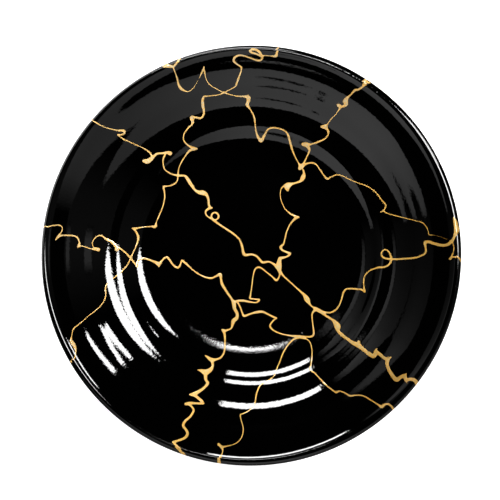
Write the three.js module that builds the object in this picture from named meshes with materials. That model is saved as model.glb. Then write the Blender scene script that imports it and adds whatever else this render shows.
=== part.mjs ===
import * as THREE from 'three';

// A round dinner-sized plate of gloss black glazed stoneware, in one solid piece.
// Millimetres, +Z up. The origin is on the table, under the middle of the plate.

// Driving dimensions
const plateDiameter = 270;
const floorHeight = 7; // top of the flat middle above the table
const wall = 4.4; // thickness, square to the surface
const crestRadius = 133.3; // highest circle of the lip
const lipDrop = 2.4; // from the crest down to the widest circle
const footOuterRadius = 76;
const footInnerRadius = 71;
const footRecess = floorHeight - wall; // height of the underside inside the foot ring
const footRounding = 0.7; // softened edges of the foot ring
const undersideEndRadius = 84; // where the underside turns down into the foot

// How the upper face leans inward, in degrees, at each ring from the flat middle to the crest.
const rings = [
  { radius: 55, lean: 0 }, // edge of the flat middle
  { radius: 61, lean: 2.5 },
  { radius: 69.5, lean: 8 },
  { radius: 75, lean: 16.3 },
  { radius: 79.4, lean: 23.5 }, // riser round the well
  { radius: 83.5, lean: 16.3 },
  { radius: 88.5, lean: 8 }, // ledge
  { radius: 95.2, lean: 16.3 },
  { radius: 100.2, lean: 22.8 },
  { radius: 105, lean: 26.5 }, // first throwing ring
  { radius: 110.7, lean: 22.5 },
  { radius: 116.8, lean: 26 }, // second throwing ring
  { radius: 123.8, lean: 34 }, // upturned edge
  { radius: 129.2, lean: 26 },
  { radius: 131.4, lean: 16.3 },
  { radius: crestRadius, lean: 0 },
];

// Facets
const segmentsRound = 72;
const stepsPerRing = 2;
const stepsRoundLip = 3;
const stepsIntoFoot = 4;

const plateRadius = plateDiameter / 2;
const glaze = new THREE.MeshStandardMaterial({ color: 0x070708, roughness: 0.1, metalness: 0 });

// The upper face from the flat middle out to the crest: radius, height and lean of each point.
function upperFace() {
  const leans = new THREE.SplineCurve(rings.map((ring) => new THREE.Vector2(ring.radius, ring.lean)));
  const stations = leans.getPoints((rings.length - 1) * stepsPerRing);
  const face = [{ radius: stations[0].x, height: floorHeight, lean: 0 }];
  for (let i = 1; i < stations.length; i += 1) {
    const last = face[i - 1];
    const lean = THREE.MathUtils.degToRad(stations[i].y);
    const slope = Math.tan((lean + last.lean) / 2);
    const height = last.height + slope * (stations[i].x - last.radius);
    face.push({ radius: stations[i].x, height, lean });
  }
  return face;
}

// The underside runs at wall thickness below the upper face, from the foot's shoulder to the lip.
function underside(face) {
  return face
    .filter((point) => point.radius > undersideEndRadius && point.radius < crestRadius - wall)
    .map((point) => new THREE.Vector2(
      point.radius + wall * Math.sin(point.lean),
      point.height - wall * Math.cos(point.lean),
    ));
}

// The foot ring, from the recess inside it, under its flat face and up to the shoulder.
function foot(shoulder) {
  const inner = footInnerRadius;
  const outer = footOuterRadius;
  const flank = new THREE.QuadraticBezierCurve(
    new THREE.Vector2(outer, footRounding),
    new THREE.Vector2(outer + 1, shoulder.y - footRecess / 2),
    shoulder,
  );
  return [
    new THREE.Vector2(inner - footRecess / 2, footRecess),
    new THREE.Vector2(inner - footRounding / 2, footRecess / 2),
    new THREE.Vector2(inner, footRounding),
    new THREE.Vector2(inner + footRounding, 0),
    new THREE.Vector2(outer - footRounding, 0),
    ...flank.getPoints(stepsIntoFoot).slice(0, -1),
  ];
}

// The rounded lip: from the underside's end out to the widest circle and over to the crest.
function lip(start, crestHeight) {
  const widest = new THREE.Vector2(plateRadius, crestHeight - lipDrop);
  const under = new THREE.QuadraticBezierCurve(
    start,
    new THREE.Vector2(plateRadius, widest.y - lipDrop),
    widest,
  );
  const over = new THREE.EllipseCurve(
    crestRadius,
    widest.y,
    plateRadius - crestRadius,
    lipDrop,
    0,
    Math.PI / 2,
  );
  return [
    ...under.getPoints(stepsRoundLip).slice(1),
    ...over.getPoints(stepsRoundLip).slice(1, -1),
  ];
}

// The whole section, from the middle of the underside round to the middle of the upper face.
function section() {
  const face = upperFace();
  const crest = face[face.length - 1];
  const below = underside(face);
  const above = face.map((point) => new THREE.Vector2(point.radius, point.height)).reverse();
  return [
    new THREE.Vector2(0, footRecess),
    ...foot(below[0]),
    ...below,
    ...lip(below[below.length - 1], crest.height),
    ...above,
    new THREE.Vector2(0, floorHeight),
  ];
}

function makePlate() {
  const geometry = new THREE.LatheGeometry(section(), segmentsRound);
  geometry.rotateX(Math.PI / 2);
  const plate = new THREE.Mesh(geometry, glaze);
  plate.name = 'plate';
  return plate;
}

const model = new THREE.Group();
model.add(makePlate());

export default model;
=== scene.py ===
import math

import bpy
import numpy as np
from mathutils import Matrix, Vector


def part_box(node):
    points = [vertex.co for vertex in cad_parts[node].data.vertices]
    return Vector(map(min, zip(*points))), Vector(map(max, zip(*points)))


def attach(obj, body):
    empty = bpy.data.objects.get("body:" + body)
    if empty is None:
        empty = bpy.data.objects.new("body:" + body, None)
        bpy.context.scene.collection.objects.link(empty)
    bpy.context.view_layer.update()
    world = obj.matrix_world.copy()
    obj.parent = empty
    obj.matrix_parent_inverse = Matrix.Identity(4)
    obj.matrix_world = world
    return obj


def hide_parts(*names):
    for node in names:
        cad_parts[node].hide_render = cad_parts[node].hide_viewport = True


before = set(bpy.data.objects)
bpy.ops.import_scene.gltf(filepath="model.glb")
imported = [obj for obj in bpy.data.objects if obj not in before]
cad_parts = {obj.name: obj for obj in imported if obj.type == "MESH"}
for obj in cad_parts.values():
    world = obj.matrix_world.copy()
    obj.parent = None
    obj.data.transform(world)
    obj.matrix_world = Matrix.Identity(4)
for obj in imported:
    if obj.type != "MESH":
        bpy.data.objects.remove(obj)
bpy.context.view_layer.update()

# Sizes in millimetres, close to the solid's. The lip turns over a little more tightly
MM = 0.001
PLATE_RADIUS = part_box("plate")[1].x / MM
FLOOR_HEIGHT = 7.0  # top of the flat middle above the table
WALL = 4.4  # thickness, square to the surface
CREST_RADIUS = 131.9  # highest circle of the lip
LIP_WIDEST = 134.75
LIP_DROP = 1.9  # from the last ring down to the widest circle
FOOT_OUTER_RADIUS = 76.0
FOOT_INNER_RADIUS = 71.0
FOOT_RECESS = FLOOR_HEIGHT - WALL  # height of the underside inside the foot ring
FOOT_ROUNDING = 0.7  # softened edges of the foot ring
UNDERSIDE_END_RADIUS = 84.0  # where the underside turns down into the foot

# How the upper face leans at each ring, from the flat middle out over the crest:
# (radius, lean in degrees), where the lean is inward and past the crest outward
RINGS = [
    (55.0, 0.0),  # edge of the flat middle
    (61.0, 2.5),
    (69.5, 8.0),
    (75.0, 16.3),
    (79.4, 23.5),  # riser round the well
    (83.3, 16.3),
    (88.5, 8.0),  # ledge
    (95.1, 16.3),
    (99.8, 22.8),
    (105.0, 26.5),  # first throwing ring
    (110.7, 22.5),
    (116.8, 26.0),  # second throwing ring
    (123.8, 34.0),  # upturned edge
    (128.6, 27.0),
    (131.0, 16.3),
    (CREST_RADIUS, 0.0),
    (132.4, -2.5),
    (132.6, -8.0),
    (133.08, -14.5),
    (133.22, -28.0),
    (134.35, -40.0),
    (134.6, -48.0),
]

# The rings inside the lip were turned a little off the lip's own centre: how far, towards where in
# degrees, and the radii where the shift begins, is whole and starts to fade into the lip
OFF_CENTRE = 1.25
OFF_CENTRE_TOWARD = 140.0
OFF_CENTRE_FROM = 80.0
OFF_CENTRE_FULL = 128.0
OFF_CENTRE_TO = 131.2

# Where a hand pushed a ring in or out:
# (ring radius, reach across it, direction in degrees, spread round it in degrees, push outward)
DENTS = [
    (84.5, 4.5, 345.0, 24.0, -1.4),
    (112.0, 22.0, 310.0, 20.0, -1.1),
    (130.0, 4.0, 294.0, 26.0, -0.6),
    (81.5, 4.5, 120.0, 24.0, 0.6),
]

# The lip is a little oval: how much longer its half width is, towards where in degrees, and the
# radius where that begins
OVAL = 0.35
OVAL_TOWARD = 52.0
OVAL_FROM = 110.0

# How far the wall waves up and down: the rim twice and three times round, and the finger ridges and
# softer swells across the face, with the width of face that one wave takes for each radian
WARP_TWICE = 0.12
WARP_THRICE = 0.05
RIDGE_HEIGHT = 0.0035
RIDGE_WIDTH = 1.9
SWELL_HEIGHT = 0.012
SWELL_WIDTH = 5.3

# Fineness of the glaze mesh
STEPS_ROUND = 300
STEPS_PER_RING = 9
STEPS_ON_MIDDLE = 10
STEPS_ROUND_LIP = 10
STEPS_INTO_FOOT = 8
STEPS_UNDER_MIDDLE = 6

# Fineness and thickness of the gold
GOLD_GRID = 0.3
GOLD_STEP = 0.3
GOLD_HEIGHT = 0.06  # how much prouder the coat stands for each millimetre of a line's half width
GOLD_UNEVEN = 0.15
GOLD_SINK = 0.015  # how far the coat's edge lies under the glaze
GOLD_FILLET = 1.4  # how wide the paint fills the corner between two strokes
OUTSIDE = -9.0  # the level of a place that no stroke is near
STROKE_REACH = 3  # half widths out from a stroke's line where its level is still worked out
STROKE_MARGIN = 4  # half widths of grid kept round a stroke
GRID_MARGIN = 8  # cells past the longest route
LIP_REACH_RADIUS = 134.0  # a route that ends past this runs on over the lip
OVER_LIP_RADIUS = 137.0  # and it runs on to here
PLACE_ROUNDS = 4  # rounds that find a shifted place's own ring

# Light spreads past a bright line, so the paint is a share of the width that is read: the share of a
# line with no width, how much it grows for each pixel of width, and the largest share
GOLD_THIN_SHARE = 0.50
GOLD_SPREAD = 0.145
GOLD_WIDEST_SHARE = 0.96

# Where the photograph's pixels lie on the plate
MM_PER_PIXEL = 0.6435
MIDDLE_ACROSS = 251.4
MIDDLE_DOWN = 255.6

# The glaze, and the clay that stays bare under the foot ring: colours, heights and depths in metres,
# and noise scales on a place in metres
GLAZE_BLACK = (0.0001, 0.0001, 0.0001, 1)
GLAZE_CLOUDED = (0.0003, 0.0003, 0.0003, 1)
GLAZE_ROUGHNESS = 0.012
GLAZE_CLOUDED_ROUGHNESS = 0.02
CLOUD_SCALE = 22.0
CLAY_DARK = (0.10, 0.062, 0.040, 1)
CLAY_LIGHT = (0.19, 0.125, 0.082, 1)
CLAY_ROUGHNESS = 0.7
CLAY_EDGE_HEIGHT = 0.0007
CLAY_EDGE_WANDER = 0.0006
CLAY_EDGE_BLUR = 0.0002
THROWING_LINE_DEPTH = 0.0000025
THROWING_LINE_SCALE = 700.0
THROWING_LINE_DRIFT = 0.0012  # how far a line drifts sideways for each radian round the plate
ORANGE_PEEL_DEPTH = 0.000016
ORANGE_PEEL_SCALE = 700.0
POOLING_DEPTH = 0.00002
POOLING_SCALE = 45.0

# The gold's colour from its thin edge to its thick middle, partly the paint's thickness and partly painted
# shade at the edges and a painted highlight in the middle, and the painted light and shade that make it
# darker and warmer from the upper left of the plate to the lower right: (place on the ramp, colour)
GOLD_BY_THICKNESS_AND_SHEEN = [
    (0.0, (0.74, 0.42, 0.09)),
    (0.22, (0.86, 0.56, 0.20)),
    (0.45, (0.69, 0.465, 0.19)),
    (0.8, (0.65, 0.54, 0.37)),
]
GOLD_PAINTED_LIGHT_BY_PLACE = [
    (0.0, (1.0, 1.0, 1.0)),
    (0.38, (0.98, 0.90, 0.68)),
    (0.72, (0.96, 0.86, 0.46)),
    (1.0, (0.74, 0.62, 0.28)),
]
# Painted light and shade on the gold: its colour is multiplied by the brightest value at the upper left,
# less the dimming times its place toward the lower right
GOLD_PAINTED_LIGHT_MOST = 1.28
GOLD_PAINTED_SHADE = 0.5
GOLD_ROUGHNESS = 0.45
GOLD_PATCH_ROUGHNESS = 0.16
GOLD_PATCH_SCALE = 160.0
GOLD_GRAIN_SCALE = 900.0
GOLD_GRAIN_DEPTH = 0.000022
# How fast the painted light and shade on the gold change across the plate
PAINTED_SHADE_PER_METRE = 2.95  # from 0 at the upper left rim to 1 at the lower right one, 0.5 in the middle

# How thick the gold looks, where its depth also paints a highlight into the middle of a line and shade at
# its edges: what its depth in millimetres, its patches and its speckle add, and the speckle of a thin line
# and how much stronger it is for each millimetre of depth
SHEEN_AND_THICKNESS_OF_DEPTH = 0.45
THICKNESS_OF_PATCHES = 0.3
SPECKLE_WHERE_THIN = 0.7
SPECKLE_OF_DEPTH = 2.6

# The stage in metres, with angles in degrees
FLOOR_HALF = 12.0
FLOOR_GLOW = 1.0
LAMP_HEIGHT = 12.0
LAMP_ARC_STEPS = 8
LAMP_LAYER_GAP = 0.004
CAMERA_HEIGHT = 8.0
CAMERA_NEAR = 0.1
CAMERA_FAR = 60.0
SENSOR_WIDTH = 36.0
VIEW_WIDTH = 0.32175
VIEW_CENTRE_X = -0.0009
VIEW_CENTRE_Y = 0.0036

# Lamps of one brightness, and the corners of each: (degrees round the plate, degrees from overhead)
SOFTBOX_RADIANCE = 28.0
SOFTBOXES = {
    "big_round_softbox": [
        (-3, 22), (0, 18.5), (8, 17), (15, 16), (25, 15.2), (35, 15.2), (43, 15.9), (46.6, 17.2),
        (43.5, 20), (39, 23.5), (32, 26.5), (25, 28), (15, 28.6), (8, 28.2), (4, 27), (0, 24),
    ],
    "small_softbox": [
        (25, 49.2), (27, 52), (31, 51.8), (41, 50), (40.5, 45.9), (37, 46.3), (33, 46.9),
    ],
}
STRIP_SOFTBOX_ROUND = (78.3, 118.7)
STRIP_SOFTBOX_FROM_OVERHEAD = (32.3, 43.0)

# Lamps and dark slits that change along their length. The stations of each are (degrees round the
# plate, nearest and furthest degrees from overhead, share of the radiance)
SOFT_LAMPS = {
    "ceiling_strip": {
        "radiance": 45.0,
        "far_share": 0.0,
        "stations": [
            (66, 3.3, 7.0, 0.8), (68, 3.1, 7.0, 1), (74, 2.8, 6.4, 1), (84, 2.7, 5.8, 1),
            (94, 2.7, 5.8, 1), (104, 2.9, 6.0, 1), (108, 3.1, 6.3, 0.4),
        ],
    },
    "big_card": {
        "far_share": 0.85,
        "stations": [
            (192.5, 46.6, 51, 0.5), (196, 46.2, 51.5, 0.66), (200, 45.8, 52.4, 0.7),
            (210, 41.5, 53, 0.9), (220, 38, 57, 1.05), (230, 35.2, 56.8, 1.08),
            (240, 34, 56.3, 1.04), (250, 33, 56.2, 1.03), (260, 32.4, 56.2, 1.0),
            (270, 32.6, 56.6, 0.95), (280, 33.8, 57.6, 0.84), (290, 36, 59.4, 0.7),
            (300, 39.6, 62.5, 0.58), (310, 42, 64, 0.5), (320, 45, 72, 0.45), (330, 49, 72, 0.45),
            (336, 51, 72, 0.38), (341, 53, 72, 0.2), (347, 56, 72, 0.0),
        ],
    },
    "side_card": {
        "far_share": 0.6,
        "layer": 1,
        "stations": [
            (124, 36, 46, 0), (130, 34, 46.4, 0.68), (137, 30, 48, 0.74), (143, 28, 50.5, 0.55),
            (150, 27, 54, 0.3), (160, 27, 54, 0.17), (170, 27, 54, 0.11), (180, 27, 54, 0.075),
            (190, 27, 54, 0.05), (197, 27, 54, 0),
        ],
    },
    "side_strip": {
        "far_share": 0.8,
        "stations": [
            (133, 19, 27, 0), (139, 18.2, 27, 0.4), (147, 18.6, 26.6, 0.66), (160, 18.8, 26.4, 0.66),
            (172, 19.2, 26, 0.6), (184, 20, 25.5, 0.3), (190, 20, 25.5, 0),
        ],
    },
    "corner_patch": {
        "stations": [(129, 9, 15, 0), (135, 8.5, 16, 0.3), (141, 8, 16, 0.62), (147, 8.5, 15, 0)],
    },
    "slit": {
        "radiance": 0.0,
        "layer": -1,
        "stations": [
            (250, 45.7, 46, 1), (254, 44.9, 46.6, 1), (264, 45, 46.6, 1), (268, 45.8, 46.2, 1),
        ],
    },
    "slit_end": {
        "radiance": 0.0,
        "layer": -1,
        "stations": [(244.6, 44.4, 46.4, 1), (246.8, 44.2, 46.6, 1)],
    },
    "low_card": {
        "radiance": 1.1,
        "stations": [(222, 69, 80, 0), (232, 69, 80, 1), (290, 69, 80, 1), (304, 69, 80, 0)],
    },
    "low_patch": {
        "stations": [(-10, 48.5, 53, 0), (-5, 48.5, 53, 0.45), (2, 48.5, 53, 0.45), (7, 48.5, 53, 0)],
    },
    "faint_card": {
        "layer": 2,
        "stations": [(-38, 20, 56, 0), (-20, 20, 56, 0.06), (0, 20, 56, 0.08), (22, 20, 56, 0)],
    },
}

# The gold lines, read from the photograph: pixels across and down, and the line's width there
GOLD_ROUTES = {
    "upper_left_rim": [
        (91.2, 119.4, 2.2), (98, 124, 2.2), (107, 128.2, 2), (117, 130.6, 2.2), (122, 130.8, 2.8),
        (124.6, 131.6, 3.2), (124.4, 134, 2.4), (121, 135, 2.4), (118, 135, 1.8),
    ],
    "upper_left_rim_to_drop": [
        (118, 135.4, 1.6), (123.2, 139, 2.2), (131.6, 143, 2), (142.4, 147.8, 2), (149, 152, 2.4),
        (152, 156.2, 2.6), (151, 159, 4), (147.8, 161.4, 5.4), (144.2, 161.2, 4),
    ],
    "upper_left_spur": [
        (151.5, 159, 4), (156.8, 154.2, 2.8), (162.8, 153.4, 2.6), (167.2, 152.8, 3.2),
        (170.2, 153.6, 4.6),
    ],
    "upper_left_to_hook": [
        (165.2, 155, 2.4), (163.2, 160, 2.2), (164, 167.8, 2.2), (167, 171.4, 2.2), (172, 174.2, 2.4),
        (178, 175.6, 2.8), (184.6, 175.8, 2.6), (187.4, 178.6, 3.6), (191.2, 184.8, 3.6),
        (195, 190, 2.8), (199.2, 192.4, 4), (203, 192.8, 5.2), (206.6, 194.8, 3.6), (208.4, 199.6, 2.8),
        (208.8, 204.4, 2.8), (210, 207.2, 3),
    ],
    "hook_to_hub": [
        (212, 207.8, 2.4), (207.8, 209.2, 2.8), (205.6, 212.4, 2.4), (207.4, 216.2, 2.2),
        (212.4, 219.2, 2.6), (215.6, 221.8, 2.8), (220.8, 225.4, 2.6), (226.8, 229.4, 2.6),
        (234, 234.2, 2.6), (239.4, 239.6, 2.4), (242.2, 246.8, 2.8), (243.4, 252.6, 3.2),
        (245.6, 255, 3.2), (251.4, 254.4, 2.6), (256.6, 256.2, 2.6), (260.4, 260.4, 2.8),
        (263, 262.4, 2.8), (268.8, 261.8, 2.4), (273.6, 264, 2.8), (277, 267, 4),
    ],
    "small_ring": [
        (211.4, 216.2, 2.4), (212.5, 213.6, 2.4), (215, 212.6, 2.4), (217.6, 213.8, 2.6),
        (218.6, 216.4, 2.6), (217.4, 218.9, 2.4), (215, 219.9, 2.4), (212.5, 218.8, 2.4),
        (211.4, 216.2, 2.4),
    ],
    "hub": [
        (279.8, 258.4, 3.6), (279.2, 262, 5), (278.8, 266, 6.2), (279.4, 270.4, 4.2), (280.4, 273, 3),
    ],
    "hub_to_lower_right_rim": [
        (280.4, 272, 3), (284.4, 276.8, 2.4), (291.6, 283.4, 2.2), (298.8, 290, 2.4),
        (303.8, 294.6, 3.2), (306.8, 299, 5.6), (309.6, 304, 2.8), (312.6, 306.8, 2.4),
        (316.4, 309.2, 4.2), (321.8, 312.2, 3.8), (326.2, 316, 2.8), (332.4, 319.8, 3),
        (335.2, 322.8, 4.8), (337.4, 326.2, 6.6), (338.2, 330.6, 3.6), (341.4, 334.4, 3.8),
        (347.2, 338.8, 3.4), (353.2, 343, 4.2), (358, 345, 5.4), (363, 349, 4), (368.4, 353.4, 4.6),
        (373.4, 355.8, 4.6), (376, 352.4, 4.6), (379.8, 354.2, 3.8), (383.4, 357.4, 3.6),
        (387, 359.6, 4.4), (386.6, 363.4, 4), (388.2, 368.8, 3.8), (391.6, 374.6, 4.2),
        (395.8, 379.2, 4.8), (400, 376.8, 4), (404, 375.6, 4.2), (405.4, 379.2, 3.8),
        (410.2, 378.6, 3.6), (414, 380, 4), (414.4, 383.4, 3.4), (414.4, 387.4, 2.8),
    ],
    "lower_right_thorn_1": [
        (357, 344, 4), (358.8, 341.6, 3.2),
    ],
    "lower_right_thorn_2": [
        (375.4, 351.6, 4), (376.2, 348.4, 2.2),
    ],
    "lower_right_thorn_3": [
        (387, 359, 4), (390.4, 357, 2.4),
    ],
    "lower_right_thorn_4": [
        (403, 376, 3.4), (405.6, 373.4, 2.4),
    ],
    "lower_right_thorn_5": [
        (405.2, 379, 3), (406.2, 382, 2),
    ],
    "top_left_rim_prong_1": [
        (164.2, 67.2, 2.6), (168.2, 66.6, 4.2), (173.4, 67.2, 2.8), (176, 64.8, 2.6), (180.2, 60, 2.6),
        (182, 57, 2.6),
    ],
    "top_left_rim_prong_2": [
        (160.2, 65.2, 2), (165, 67, 2.6),
    ],
    "top_left_bowl": [
        (173.4, 67.6, 2.2), (174.6, 71.4, 2), (177.2, 78.2, 2.2), (178.6, 84.4, 2.6),
        (180.6, 88.2, 3.2), (184, 90.8, 2.6), (188, 92, 1.8), (192.4, 89.8, 1.6), (196.2, 84.4, 1.5),
        (199.6, 78, 1.6), (202.4, 72, 2.4), (204, 67.4, 1.6),
    ],
    "top_left_to_joint": [
        (204.2, 67.4, 1.4), (204.6, 71.6, 2.2), (205.6, 76.8, 2), (207.4, 82, 1.8), (212, 86.8, 1.8),
        (219.2, 90.8, 1.8), (225, 93.2, 2.2), (230.4, 95, 1.9), (237.4, 96.6, 2), (243.6, 96.8, 2.6),
        (248.2, 97.8, 4.8), (248.2, 101.8, 3.6), (247.2, 105.2, 3.6), (250.6, 110.2, 2.2),
        (254.2, 117.4, 2.4), (255.2, 124.8, 2.1), (256, 131.6, 2.3), (258, 137, 3), (261.2, 140.6, 4.2),
        (264.2, 136, 2.8), (267, 130.8, 2.4), (270.8, 128.2, 2.4), (277.6, 128.4, 2.2),
        (283.8, 130.6, 2.3), (287.6, 134.4, 2.6), (290, 142, 2.8), (292.4, 150.4, 2.5),
        (295.8, 158.2, 2), (298.8, 163.6, 2.2), (301, 167.2, 4.6),
    ],
    "joint": [
        (299.6, 168.6, 3.6), (301.4, 166.4, 5), (303.6, 164.8, 3.6),
    ],
    "joint_to_bead": [
        (303, 170, 2.4), (304, 173.8, 3), (303, 177.4, 5), (300.8, 180.8, 3.2), (296.4, 182.8, 2.4),
        (291.6, 184, 3.2), (287.4, 186.2, 6.6), (287.6, 190.2, 3),
    ],
    "bead_to_corner": [
        (284.6, 185.6, 2.4), (281.4, 188.6, 1.8), (280.2, 195, 1.8), (281.8, 202, 1.8),
        (285, 208.8, 1.9), (290.2, 213.6, 2.2), (294.8, 216, 2.8), (298, 217.2, 2.8),
    ],
    "corner_to_hub": [
        (298, 217.2, 2.6), (294.6, 219, 3), (290.4, 224, 2.2), (286.8, 231.2, 2.2), (285, 238.4, 2.2),
        (283.6, 243.8, 2.4), (280.8, 246.8, 3.2), (282.2, 250, 2.6), (286.8, 252.2, 2.6),
        (289.6, 253.8, 3.2), (286.8, 256.6, 2.6), (281.4, 258, 3.2),
    ],
    "top_rim": [
        (279.4, 45.6, 2.2), (278.2, 48.8, 2.4), (277, 52.8, 2.8), (275.8, 56.6, 3.2), (270.8, 56.8, 2),
        (265, 56.2, 2), (261.8, 57, 2.2),
    ],
    "top_eye": [
        (262, 57.4, 2.6), (259.6, 53.2, 3), (256.6, 50.8, 3), (253, 50.2, 2.8), (250, 51.6, 2.8),
        (252, 53.4, 2.8), (256, 54.6, 2.6), (260, 56.6, 2.6),
    ],
    "top_to_left_tip": [
        (261.4, 56.4, 2.6), (262.2, 58.8, 2.6), (260.4, 61, 2.6), (256.8, 61, 2.6), (251.6, 59.2, 2.4),
        (245.6, 57, 2.4), (239.8, 56, 2.4), (235.4, 57.8, 2.8), (233.8, 61.4, 3), (237, 64.8, 2.6),
        (241, 67.8, 2.6), (241, 72, 2.2), (239, 77.4, 2.4), (237.2, 82.8, 2.4), (235.2, 87, 2.2),
        (230, 90, 1.9), (224.4, 93, 2.2), (218, 95.2, 1.9), (209.6, 96.4, 2), (204.4, 97, 2.6),
        (202.8, 100.4, 3), (203, 106, 3.4), (204, 111.8, 2.8), (202.8, 116.8, 2.6), (199.8, 118.4, 2.8),
        (195.2, 117.6, 2.8), (191.8, 118, 4.2), (192.8, 122, 3.4), (191.6, 125, 2.6),
        (187.8, 128.8, 2.2), (184.2, 134.2, 1.9), (183.6, 139.6, 2), (186.4, 144, 2.2),
        (190.6, 147, 2.8), (194.4, 148.6, 3.4), (197.2, 148.8, 2),
    ],
    "left_tip_to_step": [
        (194, 149.2, 3), (189.8, 150.8, 2.8), (185.4, 156, 2.2), (180.8, 163.6, 2), (178.6, 169.6, 2),
        (178, 175.4, 2.2), (177.6, 179.8, 2), (175.6, 183.2, 2), (171, 185.6, 2), (166.4, 186.4, 2.2),
        (163.8, 187.2, 2.8), (164.4, 192, 2.2), (164.8, 198, 2.1), (162.8, 207, 1.9), (159, 216, 2),
        (156.4, 222.4, 2), (155.2, 226.6, 3.2), (150, 226.6, 2), (141.8, 227.4, 2), (135.6, 228.4, 2.8),
        (132, 228.2, 1.8),
    ],
    "step_to_lower_left_rim": [
        (134, 229, 2.6), (136.8, 232.8, 2.8), (138.4, 237.8, 2.8), (137.2, 243.6, 2.2),
        (134.4, 250.2, 2), (131.4, 256.8, 2.2), (128, 264, 2.2), (121.2, 272.2, 2), (113.4, 278.4, 1.8),
        (107.2, 283.6, 1.8), (105.8, 288.6, 2.2), (106, 295.2, 2), (103.8, 301.8, 2),
        (98.2, 308.4, 1.8), (90, 315, 1.7), (81.8, 322.2, 1.7), (74.2, 328.6, 2.2), (72.6, 334.8, 1.8),
        (71.8, 339.8, 3), (74, 343.6, 4.2), (76.2, 348, 2.8), (76.4, 353, 2), (75, 358, 1.8),
        (72, 361.8, 2.6), (69.4, 364.4, 2),
    ],
    "left_rim": [
        (42.6, 226.4, 2), (48, 226.8, 2), (55.8, 225.4, 2), (60.8, 225.4, 2.2), (63, 228.4, 2),
        (61.8, 232.4, 2), (58.6, 236.6, 2.6), (56.4, 239.8, 2.2),
    ],
    "left_rim_to_knot": [
        (58.8, 237.4, 2.4), (62.4, 235.6, 2.4), (68, 235.4, 2.2), (74.4, 235.8, 2.4), (78.2, 238, 2.4),
        (79.8, 242.4, 2.4), (79.4, 245.8, 3.4),
    ],
    "left_knot_to_blob": [
        (78.6, 246.6, 2.6), (82, 246, 2.2), (86.2, 247.2, 2.1), (91.2, 248.8, 2.1), (95.4, 249.4, 2.8),
        (98.6, 249.6, 4.2),
    ],
    "left_arch": [
        (98, 249, 3), (94.2, 247.4, 2), (92.6, 243.6, 1.9), (94, 239.6, 2), (97.8, 236.2, 2.2),
        (101.6, 235.8, 2.4), (106.8, 239.2, 2.8), (112.4, 242.2, 3.2), (116, 246.4, 3.8),
        (117, 249.4, 4.4),
    ],
    "left_arch_to_crossing": [
        (118, 247.6, 3.2), (121.4, 249.2, 2.4), (126, 253, 2.4), (130.8, 258, 2.6), (134.4, 262.8, 2.4),
        (137.4, 266.6, 2.6),
    ],
    "crossing_to_lower_hub": [
        (137.2, 266, 2.4), (137.8, 261.8, 2.6), (140.8, 258.6, 2.8), (147, 259, 2.4), (154, 261.6, 2.8),
        (158.8, 263.8, 4), (161.6, 261.2, 2.6), (164.4, 258.2, 2.6), (167.4, 257.4, 2.8),
        (170, 260.4, 2.8), (173.6, 265.2, 2.6), (177.8, 267.6, 2.9), (180.4, 264.6, 2.4),
        (182, 260.6, 2.6), (186, 263.6, 2.8), (192, 269, 2.3), (197.6, 273.4, 2.3), (204, 276.6, 2.3),
        (211, 278.2, 2.4), (216, 276.2, 2.5), (220.2, 274.6, 3.8), (221, 279.2, 2.8),
        (222.2, 284.2, 3.2), (226.8, 291.8, 2.8), (231.6, 298.8, 2.8), (233.8, 303.4, 4.4),
        (234.6, 308.4, 3.6), (237.2, 313.6, 3.4), (236.6, 318, 3.8), (233.8, 320.4, 4.6),
        (232.6, 324, 3.2), (231.2, 328.2, 2.4), (227.6, 330, 2.4), (224.6, 330.6, 3),
        (222.2, 329.6, 2.4),
    ],
    "left_thorn": [
        (158.6, 264, 4), (159, 266.8, 2),
    ],
    "lower_hub_down": [
        (223.6, 330.8, 3.6), (224.6, 334, 3), (225, 341.6, 2.3), (224.4, 351.2, 2.3),
        (221.4, 356.8, 2.5), (216.4, 359.2, 2.8), (211.6, 359.6, 4.2), (207.6, 357, 2.8),
        (205.4, 355.6, 1.8),
    ],
    "bottom_left_fork_1": [
        (211.8, 360, 3.6), (212.8, 365.8, 2.8), (210, 370, 4.6), (205.6, 372, 6), (201.8, 370.6, 3.6),
        (198.4, 370, 2.2),
    ],
    "bottom_left_zigzag_1": [
        (205.8, 373.4, 4), (205.6, 377.6, 3.6), (206.4, 380.4, 3), (207.8, 383, 3.2),
        (204.4, 387.4, 2.8), (198.8, 391.4, 3.6), (194, 394, 4.4), (189.6, 394.2, 1.8),
    ],
    "bottom_left_zigzag_2": [
        (194, 394.4, 3.6), (198.4, 397.8, 3.2), (201.8, 400.8, 3.4), (203.6, 403, 2.6),
    ],
    "bottom_left_zigzag_3": [
        (203, 403, 2.6), (196, 403, 2.8), (190, 402.8, 3.2), (186, 403.6, 3.2),
    ],
    "bottom_left_to_rim": [
        (188.8, 403.8, 3), (192, 406.4, 2.6), (193.6, 410.4, 2.8), (190.6, 415.8, 2.8), (185, 421, 3),
        (183.6, 425.6, 3), (186.6, 429.6, 3), (187.6, 433.8, 3.2), (184, 437.8, 3), (178, 440, 2.8),
        (174.4, 441.6, 3), (177.4, 445.4, 2.8), (182.6, 449.8, 2.9), (186, 453.2, 3.2),
        (188.6, 456.6, 2.6),
    ],
    "bottom_left_thorn": [
        (175, 441.4, 2.8), (172.6, 441.2, 1.8),
    ],
    "hub_to_lower_hub": [
        (280.2, 272, 2.8), (279, 277, 2.2), (276.2, 280.2, 2.8), (272.4, 276.8, 2.2), (266.4, 272, 2),
        (261.8, 268.4, 2.2), (258.4, 267.2, 2.4), (255, 269.4, 2.2), (253.2, 275.6, 2), (252, 285.2, 2),
        (250.6, 294.4, 2.2), (250.2, 298.2, 2.6), (254.4, 299, 2), (259.2, 299.8, 2.6), (256, 302.4, 2),
        (249.6, 301.8, 2.4), (243.6, 300.8, 2.8), (238.2, 300.8, 2.8), (234.6, 301.8, 3),
    ],
    "lower_hub_to_fold": [
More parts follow.
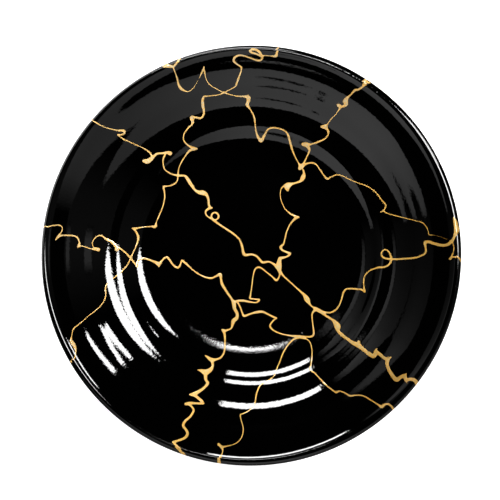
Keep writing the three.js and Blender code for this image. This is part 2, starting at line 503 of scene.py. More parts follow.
        (237.6, 302.2, 2.4), (240.4, 307.4, 2.4), (242.2, 312.4, 2.4), (244.2, 315.8, 2.8),
        (250.2, 313.8, 2.4), (256.8, 312.2, 3), (262.8, 311.8, 2.8), (268.8, 314.6, 2.4),
        (273.2, 316.8, 2.6), (276.6, 318, 2),
    ],
    "fold_to_lower_right": [
        (276, 318.2, 2.2), (272.2, 321.8, 2.2), (270, 326, 2.4), (273.4, 330.2, 2.2),
        (280.8, 333.6, 2.1), (289.2, 335.4, 2.1), (297.6, 336.4, 3.2), (306, 336.8, 2.4),
        (311.8, 336.2, 2.6), (313.6, 333, 2.5), (313, 326, 2.1), (312, 317, 2.2), (312.8, 312.2, 2.6),
        (315.6, 309.4, 3),
    ],
    "bottom_to_rim": [
        (298.6, 337.4, 3), (293.4, 339.4, 2.4), (288, 344.8, 2.2), (283.2, 352.4, 2.1),
        (280.2, 360.4, 2.1), (277.2, 367.4, 2), (273.6, 376, 2), (267, 381, 2.1), (260.6, 384.8, 2.2),
        (257.4, 390.8, 2.2), (255.8, 396.8, 2.2), (254.6, 404, 2.2), (249.4, 409.8, 2.1),
        (244, 412.8, 2), (240.6, 414.6, 2.2), (241.2, 419.6, 1.8), (243.2, 426.8, 1.9),
        (242.8, 433.4, 1.8), (239.8, 439.4, 1.9), (234, 443.6, 1.8), (226.4, 445.6, 2.2), (222, 446, 3),
        (218.8, 443.8, 3.2),
    ],
    "bottom_rim_end": [
        (221.6, 446.4, 2.8), (222.8, 449, 2.4), (222.4, 452.4, 2.1), (220.6, 455.6, 2.6),
        (219.8, 459.4, 4), (219.4, 463.4, 3),
    ],
    "bottom_right_to_rim": [
        (301, 337.6, 2.6), (306.8, 339.2, 2), (310.2, 342.8, 2), (311.8, 349, 2), (311.8, 357.2, 2),
        (310.8, 364.4, 2.2), (310, 369.4, 2.4), (314.4, 372.8, 2.2), (318.8, 377.2, 2.2),
        (324, 383, 2.4), (328.8, 387.2, 2.4), (333.4, 390.6, 2.4), (336.2, 391.8, 2.8),
        (339.8, 390.8, 2.2), (345, 392.8, 2.2), (349.8, 395.4, 2.6), (355.2, 394.8, 2.2),
        (360, 394.8, 2.2), (365, 396.4, 2.2), (371.2, 400, 2.3), (377.6, 404, 2.6), (381.2, 406, 3.8),
        (384.2, 403.8, 2.6), (388.4, 403.6, 2.6), (391, 406, 2.6), (392.4, 411, 2.4),
    ],
    "right_branch": [
        (322, 311.6, 2.6), (328.8, 312.6, 2.4), (334.4, 310.8, 2.4), (338.6, 306, 2.2),
        (341.4, 299.4, 2.2), (343.2, 292.8, 2.4), (346, 289.2, 2.5), (350.8, 288.6, 2.3),
        (356.4, 289, 2.5), (361, 289.6, 2.3), (364.2, 291, 3),
    ],
    "right_loop_to_rim": [
        (364.4, 291.2, 2.8), (363.8, 286.4, 2.2), (363.6, 279.8, 2.2), (365.6, 274.4, 2.2),
        (370.8, 270, 2.2), (378, 267.6, 2.5), (384, 267, 2.5), (388.8, 264.4, 2.6), (391, 260, 2.8),
        (390.4, 255.6, 2.5), (388.2, 251.4, 2.3), (384.8, 249.6, 2.2), (381.6, 252, 2.3),
        (381.6, 255.6, 2.4), (384.8, 258.2, 2.5), (389.6, 259, 2.6), (396, 259.2, 2.5),
        (405.6, 258.6, 2.5), (414, 257.8, 2.5), (421, 255.6, 2.6), (425.2, 252.2, 2.5), (425, 247, 2.7),
        (424.6, 243, 3.4), (428, 241.8, 3.3), (433.4, 243.6, 3.3), (440.4, 245.2, 3.3),
        (446, 244.8, 3.3), (450, 242.2, 3.4), (453, 237.8, 3.3), (454.6, 232.4, 3.5),
        (454.4, 226.8, 3.4), (453.4, 221.8, 2.8), (452.6, 218.6, 2),
    ],
    "right_lip_stroke": [
        (455.2, 232, 2), (457.6, 227.6, 2.4), (457.8, 222.8, 2.2),
    ],
    "right_twig_1": [
        (451.6, 242, 2), (453, 247.2, 1.8), (452.4, 252, 1.8), (450.8, 256.4, 2.4), (449.4, 258.6, 3.4),
    ],
    "right_twig_2": [
        (450.6, 257.2, 2.4), (454.4, 257, 2.2), (457.2, 259, 2.4), (459.6, 263.6, 2.4),
        (461.6, 266.6, 2),
    ],
    "joint_to_right_notch": [
        (303.4, 165.2, 2.6), (308, 163.4, 2.4), (313.2, 163, 2.3), (317, 165.6, 2.3),
        (320.6, 170.8, 2.3), (324.2, 176, 2.3), (327.2, 178.8, 2.8), (331.6, 176.8, 2.2),
        (336.8, 174.8, 2.1), (342.8, 176.2, 2), (350, 179.8, 2), (357.2, 182.8, 2), (365.6, 185.8, 2),
        (372.8, 190, 2), (377.6, 194.8, 2.1), (381.8, 200.6, 2.1), (385.6, 205.2, 2.3),
        (384.6, 208.6, 1.9), (382.4, 211.2, 2.2), (380.2, 212, 1.6),
    ],
    "right_notch_to_rim": [
        (383.2, 210.8, 2.2), (387.2, 213.4, 1.9), (398, 216.4, 1.9), (408, 219, 1.9),
        (418.2, 221.6, 1.8), (423, 223.6, 1.8), (426.2, 227.6, 1.8), (427.8, 231.6, 1.8),
        (428.8, 234.8, 1.8), (434.4, 235.4, 1.5), (440.4, 237, 1.5), (445.2, 238.8, 1.5),
        (449.6, 241, 1.6),
    ],
    "upper_right_rim": [
        (362, 75.6, 2), (363.8, 79.4, 2.2), (364.4, 83.6, 4), (361.8, 87.6, 2.6), (358.4, 89.8, 2.6),
        (354.2, 91.2, 3), (350.2, 95.4, 2.4), (346.6, 98.8, 3.6), (345.2, 101.6, 5.4),
        (345.8, 104.8, 4), (342.6, 106.8, 2.8), (339.6, 106.4, 3.8), (338.2, 105.6, 4),
    ],
    "upper_right_rim_prong": [
        (364.4, 84.6, 3.4), (368.4, 84.6, 2.6), (371.6, 83.4, 2.2), (374.6, 81, 2),
    ],
    "upper_right_to_knob": [
        (340, 108.2, 2.6), (335.8, 114.2, 1.8), (330.4, 120.2, 1.9), (327, 124.8, 2.4),
        (324.6, 126.8, 4.4), (321.6, 127, 3),
    ],
    "upper_right_knob_to_blob": [
        (325.4, 127.6, 4), (327.8, 131, 2.8), (327.8, 135, 2.2), (324.8, 139, 2.2), (318.8, 141.8, 2.6),
        (311.8, 144.2, 2.3), (306, 144.6, 4.6), (302.8, 144.4, 3.6),
    ],
    "upper_right_blob_to_joint": [
        (306.4, 145.4, 4.2), (308.8, 148.4, 3.2), (309, 151.8, 2.6), (306.6, 157.2, 2.2),
        (304.2, 162.4, 2.4), (302.6, 166, 3),
    ],
    "bottom_lip_dot": [
        (201.4, 457.2, 2), (202.4, 459, 1.6),
    ],
    "lower_right_lip_dot": [
        (337.6, 443.2, 1.6), (338.4, 444.4, 1.2),
    ],
    "upper_right_lip_dot": [
        (407.4, 115.6, 1.6), (408.4, 114.8, 1.2),
    ],
}


class Wire:
    """A value, colour or vector between shader nodes. Sums on values add their Math nodes."""

    def __init__(self, shader, socket):
        self.shader = shader
        self.socket = socket

    def math(self, operation, *others):
        sockets = {index: other for index, other in enumerate((self, *others))}
        return self.shader.node("ShaderNodeMath", {"operation": operation}, sockets)

    def __add__(self, other):
        return self.math("ADD", other)

    def __radd__(self, other):
        return self.math("ADD", other)

    def __sub__(self, other):
        return self.math("SUBTRACT", other)

    def __rsub__(self, other):
        return self.shader.node("ShaderNodeMath", {"operation": "SUBTRACT"}, {0: other, 1: self})

    def __mul__(self, other):
        return self.math("MULTIPLY", other)

    def __rmul__(self, other):
        return self.math("MULTIPLY", other)

    def step(self, low, high):
        """0 below low and 1 above high, smooth between."""
        settings = {"interpolation_type": "SMOOTHSTEP"}
        sockets = {"Value": self, "From Min": low, "From Max": high}
        return self.shader.node("ShaderNodeMapRange", settings, sockets)


class Shader:
    """The node tree of a material or of the world, made one node at a time."""

    def __init__(self, owner):
        owner.use_nodes = True
        self.tree = owner.node_tree
        self.tree.nodes.clear()

    def node(self, kind, settings, sockets, output=0):
        """Adds a node: its settings first, then the values or wires of its sockets. Returns one output."""
        made = self.tree.nodes.new(kind)
        for name, value in settings.items():
            if name == "stops":
                self.set_stops(made.color_ramp, value)
            else:
                setattr(made, name, value)
        for name, value in sockets.items():
            if isinstance(value, Wire):
                self.tree.links.new(value.socket, made.inputs[name])
            else:
                made.inputs[name].default_value = value
        return Wire(self, made.outputs[output]) if made.outputs else None

    def set_stops(self, ramp, stops):
        while len(ramp.elements) < len(stops):
            ramp.elements.new(0.5)
        for element, (position, colour) in zip(ramp.elements, stops):
            element.position = position
            element.color = (*colour, 1.0)

    def noise(self, vector, scale, detail=2.0):
        sockets = {"Vector": vector, "Scale": scale, "Detail": detail}
        return self.node("ShaderNodeTexNoise", {}, sockets, "Fac")

    def parts(self, vector, names):
        return [self.node("ShaderNodeSeparateXYZ", {}, {0: vector}, name) for name in names]

    def ramp(self, share, stops):
        return self.node("ShaderNodeValToRGB", {"stops": stops}, {"Fac": share})

    def mix_colour(self, share, first, second):
        sockets = {0: share, 6: first, 7: second}
        return self.node("ShaderNodeMix", {"data_type": "RGBA"}, sockets, 2)

    def times(self, first, second):
        """One colour times another, channel by channel."""
        return self.node("ShaderNodeVectorMath", {"operation": "MULTIPLY"}, {0: first, 1: second})

    def place(self):
        """Where a point lies on the object, in metres."""
        return self.node("ShaderNodeTexCoord", {}, {}, "Object")

    def bump(self, height, distance, normal=None):
        sockets = {"Height": height, "Distance": distance, "Strength": 1.0}
        if normal is not None:
            sockets["Normal"] = normal
        return self.node("ShaderNodeBump", {}, sockets)

    def surface(self, shader, kind="ShaderNodeOutputMaterial"):
        self.node(kind, {}, {"Surface": shader})


# The turned section

def smooth_curve(points, steps):
    """A smooth curve through the points, with so many steps between each two."""
    points = np.array(points, float)
    padded = np.vstack([points[:1], points, points[-1:]])
    share = np.linspace(0, 1, steps, endpoint=False)[:, None]
    curve = []
    for before, start, end, after in zip(padded, padded[1:], padded[2:], padded[3:]):
        pull_in = (end - before) / 2
        pull_out = (after - start) / 2
        cubic = 2 * start - 2 * end + pull_in + pull_out
        square = -3 * start + 3 * end - 2 * pull_in - pull_out
        curve.append(((cubic * share + square) * share + pull_in) * share + start)
    curve.append(points[-1:])
    return np.vstack(curve)


def bend(start, pull, end, steps):
    """A stretch that leaves start towards pull and arrives at end from it."""
    share = np.linspace(0, 1, steps + 1)[:, None]
    return (1 - share) ** 2 * start + 2 * share * (1 - share) * pull + share**2 * end


def upper_face():
    """Radius, height and lean in radians of each point from the flat middle's edge out over the crest."""
    stations = smooth_curve(RINGS, STEPS_PER_RING)
    radius = stations[:, 0]
    lean = np.radians(stations[:, 1])
    rise = np.tan((lean[1:] + lean[:-1]) / 2) * np.diff(radius)
    height = FLOOR_HEIGHT + np.concatenate([[0.0], np.cumsum(rise)])
    return radius, height, lean


def underside(radius, height, lean):
    """Points at wall thickness below the upper face, from the foot's shoulder out to the lip."""
    kept = (radius > UNDERSIDE_END_RADIUS) & (radius < CREST_RADIUS - WALL)
    outer = radius + WALL * np.sin(lean)
    lower = height - WALL * np.cos(lean)
    return np.column_stack([outer, lower])[kept]


def foot(shoulder):
    """The foot ring, from its shoulder down, under its flat face and into the recess."""
    outer = FOOT_OUTER_RADIUS
    inner = FOOT_INNER_RADIUS
    soft = FOOT_ROUNDING
    flank = bend(
        shoulder,
        np.array([outer + 1.0, shoulder[1] - FOOT_RECESS / 2]),
        np.array([outer, soft]),
        STEPS_INTO_FOOT,
    )
    outer_edge = bend(flank[-1], np.array([outer, 0.0]), np.array([outer - soft, 0.0]), STEPS_INTO_FOOT)
    inner_edge = bend(
        np.array([inner + soft, 0.0]),
        np.array([inner, 0.0]),
        np.array([inner, soft]),
        STEPS_INTO_FOOT,
    )
    cove = bend(
        inner_edge[-1],
        np.array([inner, FOOT_RECESS]),
        np.array([inner - FOOT_RECESS / 2, FOOT_RECESS]),
        STEPS_INTO_FOOT,
    )
    return np.vstack([flank[1:], outer_edge[1:], inner_edge, cove[1:]])


def lip(last, under_end):
    """The rounded edge, from the upper face's end out to the widest circle and down to the underside."""
    widest = np.array([LIP_WIDEST, last[1] - LIP_DROP])
    over = bend(last, np.array([widest[0], last[1] - LIP_DROP / 4]), widest, STEPS_ROUND_LIP)
    under = bend(widest, np.array([widest[0], widest[1] - LIP_DROP]), under_end, STEPS_ROUND_LIP)
    return np.vstack([over[1:], under[1:]])


def section():
    """The whole section, from the middle of the upper face out over the lip and back under to the middle."""
    radius, height, lean = upper_face()
    below = underside(radius, height, lean)[::-1]
    middle = np.linspace(0, radius[0], STEPS_ON_MIDDLE + 1)[1:-1]
    under_middle = np.linspace(FOOT_INNER_RADIUS - FOOT_RECESS / 2, 0, STEPS_UNDER_MIDDLE + 1)[1:-1]
    upper = np.vstack([
        np.column_stack([middle, np.full(len(middle), FLOOR_HEIGHT)]),
        np.column_stack([radius, height]),
        lip(np.array([radius[-1], height[-1]]), below[0]),
    ])
    lower = np.vstack([
        below[1:],
        foot(below[-1]),
        np.column_stack([under_middle, np.full(len(under_middle), FOOT_RECESS)]),
    ])
    return upper, lower


def length_along(points):
    """The length of a line of points from the axis to each of them."""
    steps = np.hypot(*np.diff(points, axis=0).T)
    return points[0, 0] + np.concatenate([[0.0], np.cumsum(steps)])


UPPER_SECTION, LOWER_SECTION = section()
ALONG_UPPER = length_along(UPPER_SECTION)
CREST_POINT = int(np.argmax(UPPER_SECTION[:, 1]))
WIDEST_POINT = int(np.argmax(UPPER_SECTION[:, 0]))
ALONG_TO_CREST = ALONG_UPPER[CREST_POINT]
ALONG_TO_WIDEST = ALONG_UPPER[WIDEST_POINT]


def hand_wobble(radius, angle):
    """How far the thrower's hands left the wall above or below a true turned shape, in millimetres.
    The other numbers only set where each wave starts and how it drifts, so that none repeats."""
    share = radius / PLATE_RADIUS
    warp = WARP_TWICE * np.cos(2 * angle - 1.2) + WARP_THRICE * np.cos(3 * angle + 0.6)
    ridges = np.sin(radius / RIDGE_WIDTH + angle) * (0.6 + 0.4 * np.cos(2 * angle + radius / 17))
    swells = np.sin(radius / SWELL_WIDTH - 2 * angle) * np.cos(3 * angle - radius / 31)
    on_rim = np.clip(share * 2.4 - 0.9, 0, 1)
    return warp * share**2 + (RIDGE_HEIGHT * ridges + SWELL_HEIGHT * swells) * on_rim


def smooth_ramp(value, low, high):
    """0 below low and 1 above high, smooth between."""
    share = np.clip((value - low) / (high - low), 0, 1)
    return share * share * (3 - 2 * share)


def hand_shift(radius, angle, inside):
    """How far in x and y the thrower's hands left a point from its true turned place, in millimetres.
    Inside is 1 on the upper face and 0 outside the lip."""
    shifted_to = math.radians(OFF_CENTRE_TOWARD)
    off_centre = OFF_CENTRE * smooth_ramp(radius, OFF_CENTRE_FROM, OFF_CENTRE_FULL) * inside
    pushed = OVAL * np.cos(2 * (angle - math.radians(OVAL_TOWARD)))
    pushed = pushed * smooth_ramp(radius, OVAL_FROM, PLATE_RADIUS) * (1 - inside)
    for ring, reach, direction, spread, push in DENTS:
        turn = np.degrees(np.angle(np.exp(1j * (angle - math.radians(direction)))))
        nearness = np.exp(-(((radius - ring) / reach) ** 2) - (turn / spread) ** 2)
        pushed = pushed + push * inside * nearness
    x = pushed * np.cos(angle) + off_centre * math.cos(shifted_to)
    y = pushed * np.sin(angle) + off_centre * math.sin(shifted_to)
    return x, y


def turned(radius, angle, height, inside, share_of_wobble=1.0):
    """A point of the section turned to an angle, as the thrower's hands left it."""
    shift_x, shift_y = hand_shift(radius, angle, inside)
    x = radius * np.cos(angle) + shift_x
    y = radius * np.sin(angle) + shift_y
    z = height + share_of_wobble * hand_wobble(radius, angle)
    return np.stack(np.broadcast_arrays(x, y, z), axis=-1)


def inside_lip(radius):
    """1 on the upper face, fading to 0 where the lip is widest."""
    return 1 - smooth_ramp(radius, OFF_CENTRE_TO, LIP_WIDEST)


def glaze_points():
    """The section's points all the way round, in millimetres: an array of rings of points.
    The wobble fades out under the plate, because the foot ring was trimmed flat."""
    angle = np.linspace(0, 2 * np.pi, STEPS_ROUND, endpoint=False)[None, :]
    points = np.vstack([UPPER_SECTION, LOWER_SECTION])
    inside = inside_lip(points[:, 0])
    inside[WIDEST_POINT:] = 0
    wobble = np.ones(len(points))
    wobble[len(UPPER_SECTION):] = smooth_ramp(LOWER_SECTION[:, 0], FOOT_OUTER_RADIUS, PLATE_RADIUS - WALL)
    return turned(points[:, :1], angle, points[:, 1:], inside[:, None], wobble[:, None])


# Meshes

def new_piece(name, points, faces, material):
    """A smooth shaded mesh object from points in millimetres."""
    mesh = bpy.data.meshes.new(name)
    mesh.from_pydata((np.asarray(points) * MM).tolist(), [], faces)
    mesh.shade_smooth()
    mesh.materials.append(material)
    piece = bpy.data.objects.new(name, mesh)
    bpy.context.scene.collection.objects.link(piece)
    return piece


def glaze_body(material):
    """The whole fired plate, turned round its axis and closed at both middles."""
    rings = glaze_points()
    count = len(rings)
    points = rings.reshape(-1, 3)
    top_middle = len(points)
    under_middle = top_middle + 1
    points = np.vstack([points, [[0, 0, FLOOR_HEIGHT], [0, 0, FOOT_RECESS]]])
    faces = []
    for here in range(STEPS_ROUND):
        after = (here + 1) % STEPS_ROUND
        faces.append((top_middle, here, after))
        for ring in range(count - 1):
            inner = ring * STEPS_ROUND
            outer = inner + STEPS_ROUND
            faces.append((inner + here, outer + here, outer + after, inner + after))
        last = (count - 1) * STEPS_ROUND
        faces.append((under_middle, last + after, last + here))
    return new_piece("glazed_plate", points, faces, material)


# The gold

def traced_route(points):
    """A route as closely spaced points on the plate in millimetres, each with the line's half width."""
    across, down, width = np.array(points, float).T
    spread = width * np.minimum(GOLD_THIN_SHARE + GOLD_SPREAD * width, GOLD_WIDEST_SHARE)
    route = np.column_stack([
        (across - MIDDLE_ACROSS) * MM_PER_PIXEL,
        (MIDDLE_DOWN - down) * MM_PER_PIXEL,
        spread * MM_PER_PIXEL / 2,
    ])
    route = carried_over_lip(route)
    longest = np.hypot(*np.diff(route[:, :2], axis=0).T).max()
    return smooth_curve(route, max(2, math.ceil(longest / GOLD_STEP)))


def carried_over_lip(route):
    """The route, with any end that reaches the lip run on over it."""
    for end in (0, -1):
        x, y, half_width = route[end]
        radius = math.hypot(x, y)
        if radius > LIP_REACH_RADIUS:
            further = [[x * OVER_LIP_RADIUS / radius, y * OVER_LIP_RADIUS / radius, half_width]]
            route = np.vstack([further, route]) if end == 0 else np.vstack([route, further])
    return route


def stroke_level(route, x, y):
    """How deep each place of a grid lies in one stroke: half the stroke's width on its line, 0 at its
    edge and less outside."""
    level = np.full((len(y), len(x)), OUTSIDE)
    for (ax, ay, a_half), (bx, by, b_half) in zip(route, route[1:]):
        reach = STROKE_REACH * max(a_half, b_half)
        columns = slice(*np.searchsorted(x, (min(ax, bx) - reach, max(ax, bx) + reach)))
        rows = slice(*np.searchsorted(y, (min(ay, by) - reach, max(ay, by) + reach)))
        from_ax = x[columns][None, :] - ax
        from_ay = y[rows][:, None] - ay
        step_x, step_y = bx - ax, by - ay
        squared_length = max(step_x**2 + step_y**2, 1e-9)
        share = np.clip((from_ax * step_x + from_ay * step_y) / squared_length, 0, 1)
        distance = np.hypot(from_ax - share * step_x, from_ay - share * step_y)
        half = a_half + (b_half - a_half) * share
        near = level[rows, columns]
        np.maximum(near, half - distance**2 / half, out=near)
    return level


def gold_level():
    """The grid over the plate and how deep each place lies in the gold, with the strokes' corners filled."""
    edge = OVER_LIP_RADIUS + GOLD_GRID * GRID_MARGIN
    axis = np.arange(-edge, edge, GOLD_GRID)
    level = np.full((len(axis), len(axis)), OUTSIDE)
    for points in GOLD_ROUTES.values():
        route = traced_route(points)
        margin = STROKE_MARGIN * route[:, 2].max()
        low = route[:, :2].min(axis=0) - margin
        high = route[:, :2].max(axis=0) + margin
        columns = slice(*np.searchsorted(axis, (low[0], high[0])))
        rows = slice(*np.searchsorted(axis, (low[1], high[1])))
        stroke = stroke_level(route, axis[columns], axis[rows])
        others = level[rows, columns]
        blend = np.clip(1 - np.abs(stroke - others) / GOLD_FILLET, 0, 1) ** 2 * GOLD_FILLET / 4
        level[rows, columns] = np.maximum(stroke, others) + blend
    return axis, level


def clipped_cells(axis, level):
    """Cuts the grid's triangles along the gold's edge. Returns flat points, their levels and the faces."""
    size = len(axis)
    points, levels, faces, known = [], [], [], {}

    def corner(row, column):
        key = row * size + column
        if key not in known:
            known[key] = len(points)
            points.append((axis[column], axis[row]))
            levels.append(level[row, column])
        return known[key]

    def crossing(inside, outside):
        key = (inside, outside)
        if key not in known:
            known[key] = len(points)
            high, low = level[inside], level[outside]
            share = high / (high - low)
            x = axis[inside[1]] + share * (axis[outside[1]] - axis[inside[1]])
            y = axis[inside[0]] + share * (axis[outside[0]] - axis[inside[0]])
            points.append((x, y))
            levels.append(0.0)
        return known[key]

    gold = level > 0
    touched = gold[:-1, :-1] | gold[1:, :-1] | gold[:-1, 1:] | gold[1:, 1:]
    for row, column in zip(*np.nonzero(touched)):
        low_left, low_right = (row, column), (row, column + 1)
        high_left, high_right = (row + 1, column), (row + 1, column + 1)
        for triangle in ((low_left, low_right, high_right), (low_left, high_right, high_left)):
            outline = []
            for here, there in zip(triangle, triangle[1:] + triangle[:1]):
                if gold[here]:
                    outline.append(corner(*here))
                    if not gold[there]:
                        outline.append(crossing(here, there))
                elif gold[there]:
                    outline.append(crossing(there, here))
            if len(outline) >= 3:
                faces.append(outline)
    return np.array(points), np.array(levels), faces


def past_crest(flat):
    """How far over the lip a flat point lies: 0 inside the crest and 1 at the widest circle."""
    angle = np.arctan2(flat[:, 1], flat[:, 0])
    shift_x, shift_y = hand_shift(CREST_RADIUS, angle, 1.0)
    crest_there = CREST_RADIUS + shift_x * np.cos(angle) + shift_y * np.sin(angle)
    return np.maximum(np.hypot(*flat.T) - crest_there, 0) / (LIP_WIDEST - crest_there)


def before_shift(flat):
    """Where flat points of the upper face lay before the thrower's hands shifted them."""
    x, y = flat.T
    for _ in range(PLACE_ROUNDS):
        shift_x, shift_y = hand_shift(np.hypot(x, y), np.arctan2(y, x), 1.0)
        x, y = flat[:, 0] - shift_x, flat[:, 1] - shift_y
    return x, y


def laid_on_glaze(flat, proud):
    """Lays flat points on the upper face and over the lip, standing proud of the glaze, in millimetres."""
    over = past_crest(flat)
    on_face = over == 0
    centred_x, centred_y = before_shift(flat)
    centred = np.hypot(centred_x, centred_y)
    turn = np.where(on_face, np.arctan2(centred_y, centred_x), np.arctan2(flat[:, 1], flat[:, 0]))
    to_crest = slice(0, CREST_POINT + 1)
    place = np.interp(centred, UPPER_SECTION[to_crest, 0], ALONG_UPPER[to_crest])
    place = np.where(on_face, place, ALONG_TO_CREST + over * (ALONG_TO_WIDEST - ALONG_TO_CREST))
    outward = np.interp(place, ALONG_UPPER, UPPER_SECTION[:, 0])
    height = np.interp(place, ALONG_UPPER, UPPER_SECTION[:, 1])
    slope_out = np.interp(place, ALONG_UPPER, np.gradient(UPPER_SECTION[:, 0], ALONG_UPPER))
    slope_up = np.interp(place, ALONG_UPPER, np.gradient(UPPER_SECTION[:, 1], ALONG_UPPER))
    outward = np.where(centred < UPPER_SECTION[0, 0], centred, outward)
    steep = np.hypot(slope_out, slope_up)
    laid = turned(outward, turn, height, inside_lip(outward))
    laid[:, 0] -= proud * slope_up / steep * np.cos(turn)
    laid[:, 1] -= proud * slope_up / steep * np.sin(turn)
    laid[:, 2] += proud * slope_out / steep
    return laid


def gold_coat(material):
    """All the gold lines as one domed coat on the glaze, with its edge just under the glaze."""
    axis, level = gold_level()
    flat, levels, faces = clipped_cells(axis, level)
    uneven = 1 + GOLD_UNEVEN * np.sin(flat[:, 0] * 0.9) * np.sin(flat[:, 1] * 1.1)
    proud = GOLD_HEIGHT * levels * uneven - GOLD_SINK
    piece = new_piece("gold_lines", laid_on_glaze(flat, proud), faces, material)
    depth = piece.data.attributes.new("depth", "FLOAT", "POINT")
    depth.data.foreach_set("value", levels.astype(np.float32))
    return piece


# Finishes

def glaze_finish():
    """Gloss black glaze with fine throwing lines under it, and bare brown clay under the foot ring."""
    material = bpy.data.materials.new("gloss_black_glaze")
    shader = Shader(material)
    place = shader.place()
    x, y, height = shader.parts(place, ("X", "Y", "Z"))
    angle = y.math("ARCTAN2", x)
    radius = (x * x + y * y).math("SQRT")
    round_plate = {"X": radius, "Y": angle * THROWING_LINE_DRIFT}
    fine_lines = shader.noise(shader.node("ShaderNodeCombineXYZ", {}, round_plate), THROWING_LINE_SCALE)
    pooled = shader.noise(place, POOLING_SCALE, 3.0)
    orange_peel = shader.noise(place, ORANGE_PEEL_SCALE)
    cloud = shader.noise(place, CLOUD_SCALE, 4.0)

    clay_edge = CLAY_EDGE_HEIGHT + pooled * CLAY_EDGE_WANDER
    bare = 1 - (height - clay_edge).step(-CLAY_EDGE_BLUR, CLAY_EDGE_BLUR)
    clay = shader.mix_colour(cloud, CLAY_DARK, CLAY_LIGHT)
    black = shader.mix_colour(cloud, GLAZE_BLACK, GLAZE_CLOUDED)
    colour = shader.mix_colour(bare, black, clay)
    roughness = GLAZE_ROUGHNESS + cloud * GLAZE_CLOUDED_ROUGHNESS + bare * CLAY_ROUGHNESS
    lines = shader.bump(fine_lines, THROWING_LINE_DEPTH)
    skin = shader.bump(orange_peel, ORANGE_PEEL_DEPTH, lines)
    normal = shader.bump(pooled, POOLING_DEPTH, skin)
    surface = shader.node("ShaderNodeBsdfPrincipled", {}, {
        "Base Color": colour,
        "Roughness": roughness,
        "Normal": normal,
        "IOR": 1.5,
    })
    shader.surface(surface)
    return material


def gold_finish():
    """Brushed on gold lustre: amber at the edges and paler in the thick middle, partly from the paint's
    thickness and partly painted shade and highlight, with painted light that makes it paler toward the upper
    left and painted shade that makes it darker and warmer toward the lower right.
    """
    material = bpy.data.materials.new("painted_gold")
    shader = Shader(material)
    place = shader.place()
    depth = shader.node("ShaderNodeAttribute", {"attribute_name": "depth"}, {}, "Fac")
    patches = shader.noise(place, GOLD_PATCH_SCALE, 3.0)
    grain = shader.noise(place, GOLD_GRAIN_SCALE)
    speckle = (grain - 0.5) * (depth * SPECKLE_OF_DEPTH + SPECKLE_WHERE_THIN)
    # The depth paints a pale highlight into the middle of each line and shade at its edges, besides its
    # thicker paint
    thickness = depth * SHEEN_AND_THICKNESS_OF_DEPTH + (patches - 0.5) * THICKNESS_OF_PATCHES + speckle
    across, up = shader.parts(place, ("X", "Y"))
    # Painted light and shade: paler at the upper left, darker and warmer at the lower right
    painted_shade_place = (across - up) * PAINTED_SHADE_PER_METRE + 0.5
    colour = shader.times(shader.ramp(thickness, GOLD_BY_THICKNESS_AND_SHEEN), shader.ramp(painted_shade_place, GOLD_PAINTED_LIGHT_BY_PLACE))
    colour = shader.times(colour, GOLD_PAINTED_LIGHT_MOST - painted_shade_place * GOLD_PAINTED_SHADE)
    roughness = GOLD_ROUGHNESS + patches * GOLD_PATCH_ROUGHNESS
    normal = shader.bump(grain, GOLD_GRAIN_DEPTH)
    surface = shader.node("ShaderNodeBsdfPrincipled", {}, {
        "Base Color": colour,
        "Metallic": 0.2,
        "Roughness": roughness,
        "Normal": normal,
        "Coat Weight": 1.0,
        "Coat Roughness": 0.06,
    })
    shader.surface(surface)
    return material


def floor_finish():
    """Plain near-white table."""
    material = bpy.data.materials.new("pale_floor")
    shader = Shader(material)
    mottle = shader.noise(shader.place(), 3.0)
    tone = shader.mix_colour(mottle, (0.80, 0.80, 0.80, 1), (0.84, 0.84, 0.84, 1))
    surface = shader.node("ShaderNodeBsdfPrincipled", {}, {
        "Base Color": tone,
        "Roughness": 0.9,
        "Emission Color": (1.0, 1.0, 1.0, 1.0),
        "Emission Strength": FLOOR_GLOW,
    })
    shader.surface(surface)
    return material


# Stage

def floor():
    half = FLOOR_HALF / MM
    corners = [(-half, -half, 0), (half, -half, 0), (half, half, 0), (-half, half, 0)]
    made = new_piece("floor", corners, [(0, 1, 2, 3)], floor_finish())


def toward(azimuth, polar):
    """The point at lamp height in that direction from the plate: degrees round it and from overhead."""
    spread = LAMP_HEIGHT * math.tan(math.radians(polar))
    turn = math.radians(azimuth)
    return (spread * math.cos(turn), spread * math.sin(turn), LAMP_HEIGHT)


def lamp_light(name, radiance):
    """Plain white light, as strong at each point of a panel as the glow written there."""
    material = bpy.data.materials.new(name)
    shader = Shader(material)
    glow = shader.node("ShaderNodeAttribute", {"attribute_name": "glow"}, {}, "Fac")
    colour = shader.mix_colour(glow, (0, 0, 0, 1), (1, 1, 1, 1))
    shader.surface(shader.node("ShaderNodeEmission", {}, {"Color": colour, "Strength": radiance}))
    return material


def lamp(name, radiance, points, faces, glow, layer=0):
    """A lit panel over the plate, which the camera doesn't see. A higher layer lies behind a lower one."""
    points = np.array(points) / MM * (1 + layer * LAMP_LAYER_GAP)
    made = new_piece(name, points, faces, lamp_light(name, radiance))
    made.data.attributes.new("glow", "FLOAT", "POINT").data.foreach_set("value", glow)
    made.visible_camera = False


def flat_lamp(name, radiance, outline):
    """A panel of one brightness with a crisp outline."""
    points = [toward(azimuth, polar) for azimuth, polar in outline]
    lamp(name, radiance, points, [tuple(range(len(points)))], [1.0] * len(points))


def arc_band(azimuths, polars):
    """The outline of a panel between two directions round the plate and two angles from overhead."""
    along = np.linspace(*azimuths, LAMP_ARC_STEPS)
    near, far = polars
    return [(azimuth, near) for azimuth in along] + [(azimuth, far) for azimuth in along[::-1]]


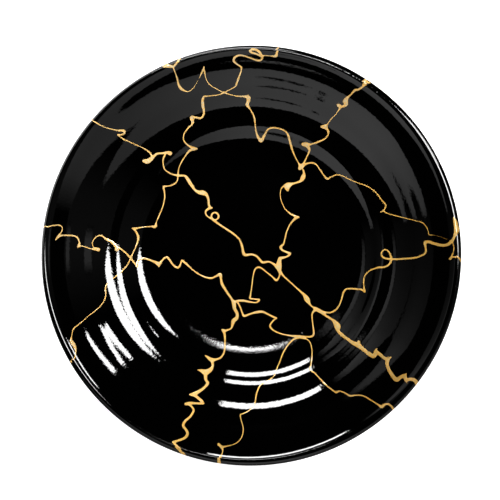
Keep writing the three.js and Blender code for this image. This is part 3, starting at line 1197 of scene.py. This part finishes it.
def soft_lamp(name, stations, radiance=1.0, far_share=1.0, layer=0):
    """A panel that changes along its length. Its brightness runs down to far_share at the far edge."""
    points, levels, faces = [], [], []
    strips = LAMP_ARC_STEPS
    for azimuth, near, far, share in stations:
        for strip in range(strips + 1):
            out = strip / strips
            points.append(toward(azimuth, near + (far - near) * out))
            levels.append(share * (1 - (1 - far_share) * out))
    for station in range(len(stations) - 1):
        for strip in range(strips):
            first = station * (strips + 1) + strip
            faces.append((first, first + 1, first + strips + 2, first + strips + 1))
    lamp(name, radiance, points, faces, levels, layer)


def lamps():
    """Every lamp where the glaze mirrors it."""
    for name, outline in SOFTBOXES.items():
        flat_lamp(name, SOFTBOX_RADIANCE, outline)
    strip = arc_band(STRIP_SOFTBOX_ROUND, STRIP_SOFTBOX_FROM_OVERHEAD)
    flat_lamp("strip_softbox", SOFTBOX_RADIANCE, strip)
    for name, kind in SOFT_LAMPS.items():
        soft_lamp(name, **kind)


def camera():
    data = bpy.data.cameras.new("camera")
    data.sensor_width = SENSOR_WIDTH
    data.lens = SENSOR_WIDTH * CAMERA_HEIGHT / VIEW_WIDTH
    data.clip_start = CAMERA_NEAR
    data.clip_end = CAMERA_FAR
    made = bpy.data.objects.new("camera", data)
    made.location = (VIEW_CENTRE_X, VIEW_CENTRE_Y, CAMERA_HEIGHT)
    bpy.context.scene.collection.objects.link(made)
    bpy.context.scene.camera = made


def surroundings():
    """A dark room for what the glaze mirrors, and a white backdrop past the floor's edge."""
    world = bpy.data.worlds.new("studio")
    bpy.context.scene.world = world
    shader = Shader(world)
    seen = shader.node("ShaderNodeLightPath", {}, {}, "Is Camera Ray")
    dark = shader.node("ShaderNodeBackground", {}, {"Color": (1, 1, 1, 1), "Strength": 0.0})
    white = shader.node("ShaderNodeBackground", {}, {"Color": (1, 1, 1, 1), "Strength": 1.0})
    surface = shader.node("ShaderNodeMixShader", {}, {0: seen, 1: dark, 2: white})
    shader.surface(surface, "ShaderNodeOutputWorld")
    bpy.context.scene.view_settings.view_transform = "Standard"


surroundings()
camera()
lamps()
floor()

plate = glaze_body(glaze_finish())
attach(plate, "root")
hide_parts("plate")

gold = gold_coat(gold_finish())
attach(gold, "root")
